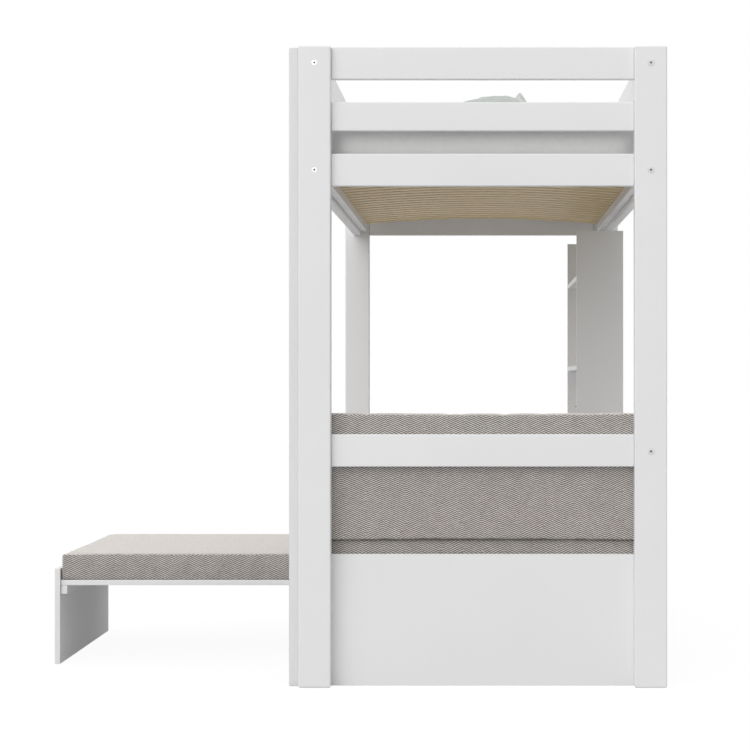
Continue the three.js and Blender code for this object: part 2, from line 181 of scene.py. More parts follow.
# Mattress
mattress_end_gap = 0.014
mattress_edge = 0.034
mattress_corner = 0.09
mattress_cell = 0.026
mattress_crown = 0.005
mattress_cap = 0.002
tape_proud = 0.0015
tape_rows = 2

# Pillow: places and reaches of its fold, notch and lip are shares of its half width and half length
pillow_edge = 0.012
pillow_corner = 0.03
pillow_cell = 0.0055
pillow_cap = 0.006
pillow_draw_in = 0.022
pillow_seam_height = 0.021
pillow_belly = 3.0
pillow_mound_share = 0.915
seam_half = 0.002
pillow_lean_share = 0.24
pillow_fullness = 0.6
pillow_drop_shares = ((0.09, 0.2, 0.11), (0.29, 0.15, 0.24))
fold_across_share = 0.32
fold_along_share = 0.3
fold_reach_share = 0.22
fold_height_share = 0.52
fold_left_share = 0.12
fold_right_share = 0.155
notch_across_share = 0.245
notch_along_share = -0.35
notch_reach_share = 0.035
notch_length_share = 0.3
notch_slant = 0.11
notch_share = 0.13
lip_across_share = -0.36
lip_along_share = -0.25
lip_reach_share = 0.045
lip_length_share = 0.35
lip_slant = 0.32
lip_share = 0.07
crumple_share = 0.1
crumple_scale = (16.0, 30.0)
crumple_seed = 3.7

# Finishes of the mattress and the pillow: sizes and depths of their texture, bloom, roughness
knit_width = 0.0022
knit_height = 0.0017
knit_share = 0.03
quilt_pitch = 0.17
quilt_stitch_share = 0.008
# How much painted shade darkens the quilt's stitched lines
stitch_shade_share = 0.6
quilt_puff = 0.4
quilt_depth = 0.006
quilt_relief_share = 0.6
ticking_cloud = 0.017
ticking_bloom = 0.25
tape_pitch = 0.0045
tape_depth = 0.00015
tape_relief_share = 0.5
tape_roughness = 0.85
cotton_pitch = 0.0011
cotton_slub = 0.011
cotton_slub_stretch = (1.0, 1.0, 7.0)
cotton_crease = 0.032
cotton_crease_depth = 0.008
cotton_thread_share = 0.0125
cotton_bloom = 0.3
linen_roughness = 0.9
linen_bloom_roughness = 0.5

# Cloth over a filling
cloth_frames = 20
cloth_quality = 5
cloth_mass = 0.3
cloth_stiffness = 15.0
cloth_shear = 5.0
cloth_bending = 0.5
cloth_pressure = 4.0
cloth_shrink_share = -0.012

# Bolts in the posts
plated_bolt_radius = 0.008
painted_bolt_radius = 0.0098
bolt_socket = 0.0028
bolt_proud = 0.0012
plated_rim = 0.0007
painted_rim = 0.0017
bolt_socket_depth = 0.0009
bolt_below_middle = 0.0016
bolt_side_share = 0.33
bolt_sides = 36
hexagon_sides = 6
brush_size = 0.0011
brush_stretch = (1.0, 1.0, 9.0)
brush_depth = 0.00002
nickel_roughness = (0.14, 0.24)
socket_speck = 0.0008
socket_depth = 0.00002
socket_roughness = 0.6

# Pin holes in the bookcase's panels, drawn as thin dark discs of painted shade on the faces
pin_radius = 0.0027
pin_from_edge = 0.032
pin_height = 0.748
pin_proud = 0.0002
pin_sides = 20


# Small tools for meshes

def add_object(name, vertices, faces, smooth=True):
    mesh = bpy.data.meshes.new(name)
    mesh.from_pydata([tuple(vertex) for vertex in vertices], [], faces)
    mesh.update()
    if smooth:
        mesh.shade_smooth()
    made = bpy.data.objects.new(name, mesh)
    bpy.context.scene.collection.objects.link(made)
    return made


def middle_of(node):
    low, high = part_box(node)
    return (low + high) / 2


def even_places(low, high, cell):
    count = max(1, round((high - low) / cell))
    return [low + (high - low) * step / count for step in range(count + 1)]


# Node graphs

class Graph:
    """A node tree, with short calls that add nodes to it and link them."""

    def __init__(self, tree):
        self.tree = tree

    def add(self, kind, **settings):
        node = self.tree.nodes.new(kind)
        for key, value in settings.items():
            setattr(node, key, value)
        return node

    def link(self, source, target):
        if isinstance(source, bpy.types.NodeSocket):
            self.tree.links.new(source, target)
        else:
            target.default_value = source

    def math(self, operation, *values):
        """One sum on numbers or sockets."""
        node = self.add("ShaderNodeMath", operation=operation)
        for socket, value in zip(node.inputs, values):
            self.link(value, socket)
        return node.outputs[0]

    def mix(self, share, first, second):
        """Goes from the first number to the second as the share goes from 0 to 1."""
        node = self.add("ShaderNodeMix", data_type="FLOAT")
        self.link(share, node.inputs[0])
        self.link(first, node.inputs[2])
        self.link(second, node.inputs[3])
        return node.outputs[0]

    def blend(self, share, first, second):
        """Goes from the first colour to the second as the share goes from 0 to 1."""
        node = self.add("ShaderNodeMix", data_type="RGBA")
        self.link(share, node.inputs[0])
        self.link(first, node.inputs[6])
        self.link(second, node.inputs[7])
        return node.outputs[2]

    def place(self):
        """The place on a piece, in metres."""
        return self.add("ShaderNodeTexCoord").outputs["Object"]

    def parts(self, vector):
        """A vector's three numbers."""
        node = self.add("ShaderNodeSeparateXYZ")
        self.link(vector, node.inputs[0])
        return node.outputs

    def scaled(self, vector, scale):
        node = self.add("ShaderNodeMapping")
        self.link(vector, node.inputs["Vector"])
        node.inputs["Scale"].default_value = scale
        return node.outputs[0]

    def noise(self, vector, size, detail=2.0, rough=0.5):
        """Noise whose patches are about as wide as size, in metres."""
        node = self.add("ShaderNodeTexNoise")
        self.link(vector, node.inputs["Vector"])
        node.inputs["Scale"].default_value = 1 / size
        node.inputs["Detail"].default_value = detail
        node.inputs["Roughness"].default_value = rough
        return node.outputs["Fac"]

    def spread(self, value, low, high):
        """A noise value stretched about its middle and held between two limits."""
        node = self.add("ShaderNodeMapRange")
        self.link(value, node.inputs["Value"])
        node.inputs["From Min"].default_value = noise_shares[0]
        node.inputs["From Max"].default_value = noise_shares[1]
        node.inputs["To Min"].default_value = low
        node.inputs["To Max"].default_value = high
        return node.outputs["Result"]


class Finish(Graph):
    """The node tree of one material, round its shader."""

    def __init__(self, name):
        self.material = bpy.data.materials.new(name)
        self.material.use_nodes = True
        super().__init__(self.material.node_tree)
        self.shader = self.tree.nodes["Principled BSDF"]

    def bump(self, height, distance, strength=1.0):
        """Gives the surface a relief. Distance is how far a height of 1 stands out, in metres."""
        node = self.add("ShaderNodeBump")
        self.link(height, node.inputs["Height"])
        node.inputs["Distance"].default_value = distance
        node.inputs["Strength"].default_value = strength
        self.link(node.outputs["Normal"], self.shader.inputs["Normal"])

    def set(self, **values):
        """Sets or links the shader's inputs. A name's underscores stand for spaces."""
        for key, value in values.items():
            self.link(value, self.shader.inputs[key.replace("_", " ")])


def colour(red, green, blue):
    """A colour as seen on a screen, 0 to 255, as the linear numbers that a shader takes."""
    linear = []
    for level in (red, green, blue):
        share = level / 255
        linear.append(share / 12.92 if share <= 0.04045 else ((share + 0.055) / 1.055) ** 2.4)
    return (*linear, 1.0)


# Colours. A pair holds the two ends between which a surface varies
lacquer_tones = (colour(233, 233, 234), colour(236, 236, 237))
# The ladder's copy of the lacquer is a little darker: painted shade for the ladder, which stands back
# beside the posts
ladder_shade_tones = (colour(223, 223, 224), colour(226, 226, 227))
# The wall side's bolt heads are a little darker than the posts' lacquer: painted shade
bolt_shade_tones = (colour(219, 219, 219), colour(223, 223, 223))
panel_tones = (colour(232, 232, 232), colour(235, 235, 235))
band_tones = (colour(231, 231, 231), colour(235, 235, 235))
pale_yarn_tones = (colour(203, 197, 191), colour(252, 248, 243))
dark_yarn_tones = (colour(38, 35, 33), colour(74, 70, 66))
cloth_tints = (colour(243, 241, 239), colour(255, 255, 255))
cloth_bloom = colour(255, 250, 245)
ticking_tones = (colour(213, 213, 212), colour(218, 218, 217))
# Painted shade in the quilt's stitched lines
stitch_shade_tone = colour(168, 168, 166)
tape_tones = (colour(214, 214, 211), colour(226, 226, 223))
cotton_tones = (colour(192, 198, 194), colour(207, 212, 207))
birch_face_tones = (colour(213, 188, 140), colour(228, 206, 161))
# Ply layers of the slats' edges, set lighter than the faces as painted light against the edges' shade
birch_ply_and_painted_light_tones = (colour(235, 212, 170), colour(225, 201, 159))
glue_tone = colour(190, 164, 128)
nickel_tones = (colour(222, 222, 222), colour(232, 232, 232))
# Painted shade for the depth of bolt sockets and drilled holes
hole_shade_tones = (colour(58, 58, 58), colour(78, 78, 78))
background_tone = (1.0, 1.0, 1.0, 1.0)


def lacquer_material(name, tones):
    """Satin white lacquer on solid boards: almost even, with a trace of roller texture."""
    graph = Finish(name)
    place = graph.place()
    cloud = graph.spread(graph.noise(place, lacquer_cloud, detail=3.0), 0.0, 1.0)
    patches = graph.noise(place, lacquer_patch, detail=3.0)
    graph.set(Base_Color=graph.blend(cloud, *tones), IOR=lacquer_refraction)
    graph.set(Roughness=graph.spread(patches, *lacquer_roughness))
    graph.bump(graph.noise(place, lacquer_grain), lacquer_depth)
    return graph.material


def panel_material():
    """White faced board: a slightly cooler white with a very fine pebbled face."""
    graph = Finish("white_panel")
    place = graph.place()
    cloud = graph.spread(graph.noise(place, panel_cloud), 0.0, 1.0)
    graph.set(Base_Color=graph.blend(cloud, *panel_tones), IOR=panel_refraction)
    graph.set(Roughness=graph.spread(graph.noise(place, panel_patch), *panel_roughness))
    pebbles = graph.add("ShaderNodeTexVoronoi")
    graph.link(place, pebbles.inputs["Vector"])
    pebbles.inputs["Scale"].default_value = 1 / panel_pebble
    graph.bump(pebbles.outputs["Distance"], panel_depth)
    return graph.material


def edge_band_material():
    """The thin band glued round the edges of a faced board: smoother than the face."""
    graph = Finish("white_edge_band")
    place = graph.place()
    tone = graph.blend(graph.noise(place, band_cloud), *band_tones)
    graph.set(Base_Color=tone, IOR=band_refraction)
    graph.set(Roughness=graph.spread(graph.noise(place, band_patch), *band_roughness))
    graph.bump(graph.noise(place, band_grain), band_depth)
    return graph.material


def cloth_plane(graph):
    """Two coordinates in the plane that a face lies nearest to, in metres."""
    coordinates = graph.add("ShaderNodeTexCoord")
    place = graph.parts(coordinates.outputs["Object"])
    normal = graph.parts(coordinates.outputs["Normal"])
    size = [graph.math("ABSOLUTE", part) for part in normal]
    faces_x = graph.math("GREATER_THAN", size[X], graph.math("MAXIMUM", size[Y], size[Z]))
    faces_z = graph.math("GREATER_THAN", size[Z], graph.math("MAXIMUM", size[X], size[Y]))
    across = graph.mix(faces_x, place[X], place[Y])
    along = graph.mix(faces_z, place[Z], place[Y])
    return coordinates.outputs["Object"], across, along


def herringbone_floats(graph, place, across, along):
    """Rows of floats that lean one way and then the other, in wandering zones.

    Returns the number of the float and of the row at each point, and how high row and float stand there.
    """
    drift = graph.math("SUBTRACT", graph.noise(place, weave_drift_size), 0.5)
    bands = graph.math("ADD", across, graph.math("MULTIPLY", drift, weave_drift))
    wave = graph.math("SINE", graph.math("MULTIPLY", bands, math.pi / weave_zone))
    side = graph.math("GREATER_THAN", wave, 0.0)
    lean = graph.math("SUBTRACT", graph.math("MULTIPLY", side, 2.0), 1.0)
    slack = graph.math("MULTIPLY", drift, weave_wander)
    rows = graph.math("DIVIDE", graph.math("ADD", along, slack), weave_row)
    row = graph.math("FLOOR", rows)
    start = graph.math("MULTIPLY", graph.math("MULTIPLY", row, weave_shift_share), lean)
    floats = graph.math("ADD", graph.math("DIVIDE", across, weave_float), start)
    swell = graph.math("SINE", graph.math("MULTIPLY", graph.math("FRACT", rows), math.pi))
    in_float = graph.math("FRACT", floats)
    arch = graph.math("SINE", graph.math("MULTIPLY", in_float, math.pi / weave_light_share))
    body = graph.math("MULTIPLY", swell, graph.math("MAXIMUM", arch, 0.0))
    return graph.math("FLOOR", floats), row, swell, body


def herringbone_yarn(graph, place, number, row, body):
    """The colour at each point: pale floats over dark yarn, each float a little unlike the next."""
    shown = graph.add("ShaderNodeMapRange", interpolation_type="SMOOTHSTEP")
    graph.link(body, shown.inputs["Value"])
    shown.inputs["From Min"].default_value = weave_shown_shares[0]
    shown.inputs["From Max"].default_value = weave_shown_shares[1]
    yarn_place = graph.add("ShaderNodeCombineXYZ")
    graph.link(number, yarn_place.inputs[0])
    graph.link(row, yarn_place.inputs[1])
    each = graph.add("ShaderNodeTexWhiteNoise", noise_dimensions="2D")
    graph.link(yarn_place.outputs[0], each.inputs["Vector"])
    fleck = graph.spread(graph.noise(place, weave_fleck, detail=3.0, rough=0.7), 0.0, 1.0)
    mixed = graph.math("MULTIPLY", graph.math("ADD", each.outputs["Value"], fleck), 0.5)
    pale = graph.blend(mixed, *pale_yarn_tones)
    dark = graph.blend(mixed, *dark_yarn_tones)
    mottle = graph.spread(graph.noise(place, weave_mottle, detail=4.0, rough=0.6), 0.0, 1.0)
    tinted = graph.add("ShaderNodeMix", data_type="RGBA", blend_type="MULTIPLY")
    tinted.inputs[0].default_value = 1.0
    graph.link(graph.blend(shown.outputs["Result"], dark, pale), tinted.inputs[6])
    graph.link(graph.blend(mottle, *cloth_tints), tinted.inputs[7])
    return tinted.outputs[2]


def herringbone_material():
    """Grey beige upholstery cloth with a soft bloom."""
    graph = Finish("grey_herringbone")
    place, across, along = cloth_plane(graph)
    number, row, swell, body = herringbone_floats(graph, place, across, along)
    graph.set(Base_Color=herringbone_yarn(graph, place, number, row, body))
    graph.set(Roughness=weave_roughness, IOR=weave_refraction)
    graph.set(Sheen_Weight=weave_bloom, Sheen_Roughness=weave_bloom_roughness, Sheen_Tint=cloth_bloom)
    height = graph.math("ADD", body, graph.math("MULTIPLY", swell, weave_row_share))
    graph.bump(height, weave_depth, weave_relief_share)
    return graph.material


def ticking_material():
    """White knitted mattress cover: fine ribs all over, quilted in diamonds on its two large faces, with
    painted shade darkening the stitched lines.
    """
    graph = Finish("mattress_ticking")
    place, across, along = cloth_plane(graph)
    ribs = graph.math("SINE", graph.math("MULTIPLY", across, 2 * math.pi / knit_width))
    rows = graph.math("SINE", graph.math("MULTIPLY", along, 2 * math.pi / knit_height))
    knit = graph.math("MULTIPLY", ribs, rows)
    parts = graph.parts(place)
    stitches = []
    for kind in ("ADD", "SUBTRACT"):
        line = graph.math("DIVIDE", graph.math(kind, parts[X], parts[Y]), quilt_pitch)
        stitches.append(graph.math("PINGPONG", line, 0.5))
    near = graph.math("MINIMUM", *stitches)
    padded = graph.math("POWER", graph.math("MULTIPLY", near, 2.0), quilt_puff)
    normal = graph.add("ShaderNodeTexCoord").outputs["Normal"]
    facing = graph.math("GREATER_THAN", graph.math("ABSOLUTE", graph.parts(normal)[Z]), flat_face_share)
    quilt = graph.math("MULTIPLY", padded, facing)
    stitched = graph.math("MULTIPLY", graph.math("LESS_THAN", near, quilt_stitch_share), facing)
    cloud = graph.spread(graph.noise(place, ticking_cloud, detail=3.0), 0.0, 1.0)
    # Painted shade along the stitched lines
    stitch_shade = graph.math("MULTIPLY", stitched, stitch_shade_share)
    tone = graph.blend(stitch_shade, graph.blend(cloud, *ticking_tones), stitch_shade_tone)
    graph.set(Base_Color=tone, Roughness=linen_roughness)
    graph.set(Sheen_Weight=ticking_bloom, Sheen_Roughness=linen_bloom_roughness)
    height = graph.math("ADD", graph.math("MULTIPLY", knit, knit_share), quilt)
    graph.bump(height, quilt_depth, quilt_relief_share)
    return graph.material


def tape_material():
    """The woven tape bound over the mattress's edges."""
    graph = Finish("mattress_tape")
    place, across, along = cloth_plane(graph)
    twill = graph.math("ADD", across, along)
    lines = graph.math("SINE", graph.math("MULTIPLY", twill, 2 * math.pi / tape_pitch))
    tone = graph.blend(graph.noise(place, ticking_cloud), *tape_tones)
    graph.set(Base_Color=tone, Roughness=tape_roughness)
    graph.bump(lines, tape_depth, tape_relief_share)
    return graph.material


def cotton_material():
    """Pale grey green cotton: a plain weave with faint slubs, a little creased."""
    graph = Finish("pale_cotton")
    place, across, along = cloth_plane(graph)
    warp = graph.math("SINE", graph.math("MULTIPLY", across, 2 * math.pi / cotton_pitch))
    weft = graph.math("SINE", graph.math("MULTIPLY", along, 2 * math.pi / cotton_pitch))
    stretched = graph.scaled(place, cotton_slub_stretch)
    slubs = graph.spread(graph.noise(stretched, cotton_slub, detail=3.0), 0.0, 1.0)
    graph.set(Base_Color=graph.blend(slubs, *cotton_tones), Roughness=linen_roughness)
    graph.set(Sheen_Weight=cotton_bloom, Sheen_Roughness=linen_bloom_roughness)
    threads = graph.math("MULTIPLY", graph.math("MULTIPLY", warp, weft), cotton_thread_share)
    height = graph.math("ADD", graph.noise(place, cotton_crease), threads)
    graph.bump(height, cotton_crease_depth)
    return graph.material


def birch_material(arc_centre_x, arc_centre_z, arc_radius):
    """Clear sealed birch bent in layers: long grain on the faces, ply lines on the edges, whose tones
    are set lighter than the faces' as painted light against the edges' shade.
    """
    graph = Finish("birch")
    coordinates = graph.add("ShaderNodeTexCoord")
    place = coordinates.outputs["Object"]
    parts = graph.parts(place)
    off_x = graph.math("SUBTRACT", parts[X], arc_centre_x)
    off_z = graph.math("SUBTRACT", parts[Z], arc_centre_z)
    squares = graph.math("ADD", graph.math("POWER", off_x, 2.0), graph.math("POWER", off_z, 2.0))
    depth = graph.math("SUBTRACT", graph.math("SQRT", squares), arc_radius)
    layer = graph.math("DIVIDE", depth, ply_thickness)
    odd = graph.math("MODULO", graph.math("FLOOR", layer), 2.0)
    glue = graph.math("LESS_THAN", graph.math("FRACT", layer), glue_share)
    stretched = graph.scaled(place, (grain_width / grain_length, 1.0, 1.0))
    grain = graph.noise(stretched, grain_width, detail=5.0, rough=0.6)
    face = graph.blend(graph.spread(grain, 0.0, 1.0), *birch_face_tones)
    # The edges' ply layers: partly the wood's own lines, partly painted light
    layers = graph.blend(odd, *birch_ply_and_painted_light_tones)
    cut = graph.blend(graph.math("MULTIPLY", glue, glue_shown_share), layers, glue_tone)
    side = graph.math("ABSOLUTE", graph.parts(coordinates.outputs["Normal"])[Y])
    on_edge = graph.math("GREATER_THAN", side, side_face_share)
    graph.set(Base_Color=graph.blend(on_edge, face, cut))
    graph.set(Roughness=graph.spread(grain, *birch_roughness), IOR=birch_refraction)
    graph.bump(grain, grain_depth, grain_relief_share)
    return graph.material


def nickel_material():
    """Polished nickel of the bolt heads."""
    graph = Finish("bolt_nickel")
    place = graph.place()
    fine = graph.noise(graph.scaled(place, brush_stretch), brush_size, detail=3.0)
    graph.set(Base_Color=graph.blend(fine, *nickel_tones), Metallic=1.0)
    graph.set(Roughness=graph.spread(fine, *nickel_roughness))
    graph.bump(fine, brush_depth)
    return graph.material


def hole_shade_material():
    """Painted shade for the inside of a bolt's socket and of a drilled hole: a dark, specked colour."""
    graph = Finish("painted_hole_shade")
    speck = graph.noise(graph.place(), socket_speck)
    graph.set(Base_Color=graph.blend(speck, *hole_shade_tones), Roughness=socket_roughness)
    graph.bump(speck, socket_depth)
    return graph.material


# Boards that keep their solids

def sharp_edges_group():
    """Keeps an edge sharp where its faces meet at more than the named angle."""
    group = bpy.data.node_groups.new("sharp_edges", "GeometryNodeTree")
    group.interface.new_socket("Geometry", in_out="INPUT", socket_type="NodeSocketGeometry")
    group.interface.new_socket("Geometry", in_out="OUTPUT", socket_type="NodeSocketGeometry")
    start = group.nodes.new("NodeGroupInput")
    end = group.nodes.new("NodeGroupOutput")
    angle = group.nodes.new("GeometryNodeInputMeshEdgeAngle")
    wide = group.nodes.new("FunctionNodeCompare")
    wide.data_type = "FLOAT"
    wide.operation = "GREATER_THAN"
    wide.inputs[1].default_value = sharp_angle
    mark = group.nodes.new("GeometryNodeSetShadeSmooth")
    mark.domain = "EDGE"
    mark.inputs["Shade Smooth"].default_value = False
    group.links.new(angle.outputs[0], wide.inputs[0])
    group.links.new(wide.outputs[0], mark.inputs["Selection"])
    group.links.new(start.outputs[0], mark.inputs["Geometry"])
    group.links.new(mark.outputs[0], end.inputs[0])
    return group


def smooth_board(board, group):
    weld = board.modifiers.new("joined_corners", "WELD")
    weld.merge_threshold = weld_distance
    sharp = board.modifiers.new("sharp_edges", "NODES")
    sharp.node_group = group
    weighted = board.modifiers.new("even_faces", "WEIGHTED_NORMAL")
    weighted.keep_sharp = True


def dress_boards():
    lacquer = lacquer_material("white_lacquer", lacquer_tones)
    ladder_shaded_lacquer = lacquer_material("white_lacquer_ladder_shaded", ladder_shade_tones)
    panel = panel_material()
    band = edge_band_material()
    group = sharp_edges_group()
    slots = {row["node"]: row["material_slot"] for row in frame["record"]["subparts"]}
    for name, board in frame["nodes"].items():
        if slots[name] not in ("white_lacquer", "white_panel"):
            continue
        mesh = board.data
        mesh.materials.clear()
        mesh.shade_smooth()
        if slots[name] == "white_lacquer":
            # The ladder takes a darker copy of the lacquer, as painted shade
            mesh.materials.append(ladder_shaded_lacquer if name.startswith("ladder") else lacquer)
        else:
            mesh.materials.append(panel)
            mesh.materials.append(band)
            low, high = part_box(name)
            sizes = list(high - low)
            thin = sizes.index(min(sizes))
            for face in mesh.polygons:
                face.material_index = int(abs(face.normal[thin]) < edge_face_share)
        smooth_board(board, group)
    return lacquer


# Slatted base

def rounded_section(width, height, radius):
    """Points round a rectangle with rounded corners, centred on nothing: width first, then height."""
    points = []
    corners = [(1, -1, -90), (1, 1, 0), (-1, 1, 90), (-1, -1, 180)]
    for side, level, turn in corners:
        for step in range(section_steps + 1):
            angle = math.radians(turn + 90 * step / section_steps)
            across = side * (width / 2 - radius) + radius * math.cos(angle)
            up = level * (height / 2 - radius) + radius * math.sin(angle)
            points.append((across, up))
    return points


def skin(rings):
    """The points and faces of a closed skin over rings of points, with a flat face at both ends."""
    count = len(rings[0])
    vertices = [point for ring in rings for point in ring]
    faces = []
    for index in range(len(rings) - 1):
        for side in range(count):
            after = (side + 1) % count
            low, high = index * count, (index + 1) * count
            faces.append((low + side, low + after, high + after, high + side))
    faces.append(tuple(reversed(range(count))))
    last = (len(rings) - 1) * count
    faces.append(tuple(last + side for side in range(count)))
    return vertices, faces


def soften(piece, group):
    piece.modifiers.new("sharp_edges", "NODES").node_group = group
    piece.modifiers.new("even_faces", "WEIGHTED_NORMAL").keep_sharp = True


def finish_base_piece(piece, material, group):
    piece.data.materials.append(material)
    soften(piece, group)
    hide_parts("slatted_base")
    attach(piece, "frame")


def slat_rings(middle_x, place_y, centre_z, radius, sweep):
    """The section of one slat, set along its arc from the left end to the right."""
    rings = []
    for step in range(slat_stations + 1):
        angle = -sweep + 2 * sweep * step / slat_stations
        ring = []
        for across, up in rounded_section(slat_width, slat_thickness, slat_edge):
            reach = radius + slat_thickness / 2 + up
            ring.append((middle_x + reach * math.sin(angle), place_y + across,
                         centre_z + reach * math.cos(angle)))
        rings.append(ring)
    return rings


def add_slats(low, high, group):
    """Slats bent to one arc, evenly spaced along the bed, with both ends let into the ledgers."""
    middle_x = (low.x + high.x) / 2
    half_span = (high.x - low.x) / 2 - slat_bearing
    slat_end = high.z - slat_camber - slat_thickness
    radius = (half_span ** 2 + slat_camber ** 2) / (2 * slat_camber)
    sweep = math.asin(half_span / radius)
    centre_z = slat_end + slat_camber - radius
    birch = birch_material(middle_x, centre_z, radius)
    pitch = (high.y - low.y) / slat_count
    for number in range(slat_count):
        place_y = low.y + pitch * (number + 0.5)
        rings = slat_rings(middle_x, place_y, centre_z, radius, sweep)
        finish_base_piece(add_object(f"slat_{number + 1:02d}", *skin(rings)), birch, group)


def add_ledgers(low, high, group, lacquer):
    """The two lacquered ledgers that carry the slats, with eased ends."""
    middle_z = low.z + ledger_height / 2
    section = rounded_section(ledger_width, ledger_height, ledger_edge)
    eased = 1 - ledger_edge / ledger_width
    stations = [(low.y, eased), (low.y + ledger_edge, 1), (high.y - ledger_edge, 1), (high.y, eased)]
    for middle_x, name in ((low.x + ledger_width / 2, "left"), (high.x - ledger_width / 2, "right")):
        rings = []
        for place_y, size in stations:
            ring = [(middle_x + across * size, place_y, middle_z + up * size) for across, up in section]
            rings.append(list(reversed(ring)))
        ledger = add_object(f"slat_ledger_{name}", *skin(rings))
        finish_base_piece(ledger, lacquer, group)


def add_slatted_base(lacquer):
    low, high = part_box("slatted_base")
    group = bpy.data.node_groups["sharp_edges"]
    add_slats(low, high, group)
    add_ledgers(low, high, group, lacquer)


# Soft forms

def edge_places(low, high, edge, corner, cell):
    """Places along one side: close together round both edges, even between them."""
    first = [low + share * edge for share in edge_shares]
    if corner > edge:
        first += [edge + low + (corner - edge) * share for share in corner_shares]
    last = [low + high - place for place in reversed(first)]
    return first + even_places(first[-1], last[0], cell)[1:-1] + last


def box_grid(places):
    """The six faces of a box as one shared grid: index triples, and the faces between them."""
    ends = [len(along) - 1 for along in places]
    index_of = {}
    faces = []
    for axis in (X, Y, Z):
        one, two = (axis + 1) % 3, (axis + 2) % 3
        for end in (0, ends[axis]):
            for first in range(ends[one]):
                for second in range(ends[two]):
                    corners = []
                    for step_one, step_two in ((0, 0), (1, 0), (1, 1), (0, 1)):
                        triple = [0, 0, 0]
                        triple[axis] = end
                        triple[one] = first + step_one
                        triple[two] = second + step_two
                        corners.append(index_of.setdefault(tuple(triple), len(index_of)))
                    if end == 0:
                        corners.reverse()
                    faces.append(tuple(corners))
    return list(index_of), faces


def make_cloth(piece, held):
    """Cloth blown up a little from inside, without weight, and pinned where the held group says."""
    cloth = piece.modifiers.new("filling", "CLOTH")
    settings = cloth.settings
    settings.quality = cloth_quality
    settings.mass = cloth_mass
    settings.tension_stiffness = cloth_stiffness
    settings.compression_stiffness = cloth_stiffness
    settings.shear_stiffness = cloth_shear
    settings.bending_stiffness = cloth_bending
    settings.use_pressure = True
    settings.uniform_pressure_force = cloth_pressure
    settings.shrink_min = cloth_shrink_share
    settings.effector_weights.gravity = 0.0
    settings.vertex_group_mass = held
    cloth.collision_settings.use_collision = False
    cloth.point_cache.frame_end = cloth_frames


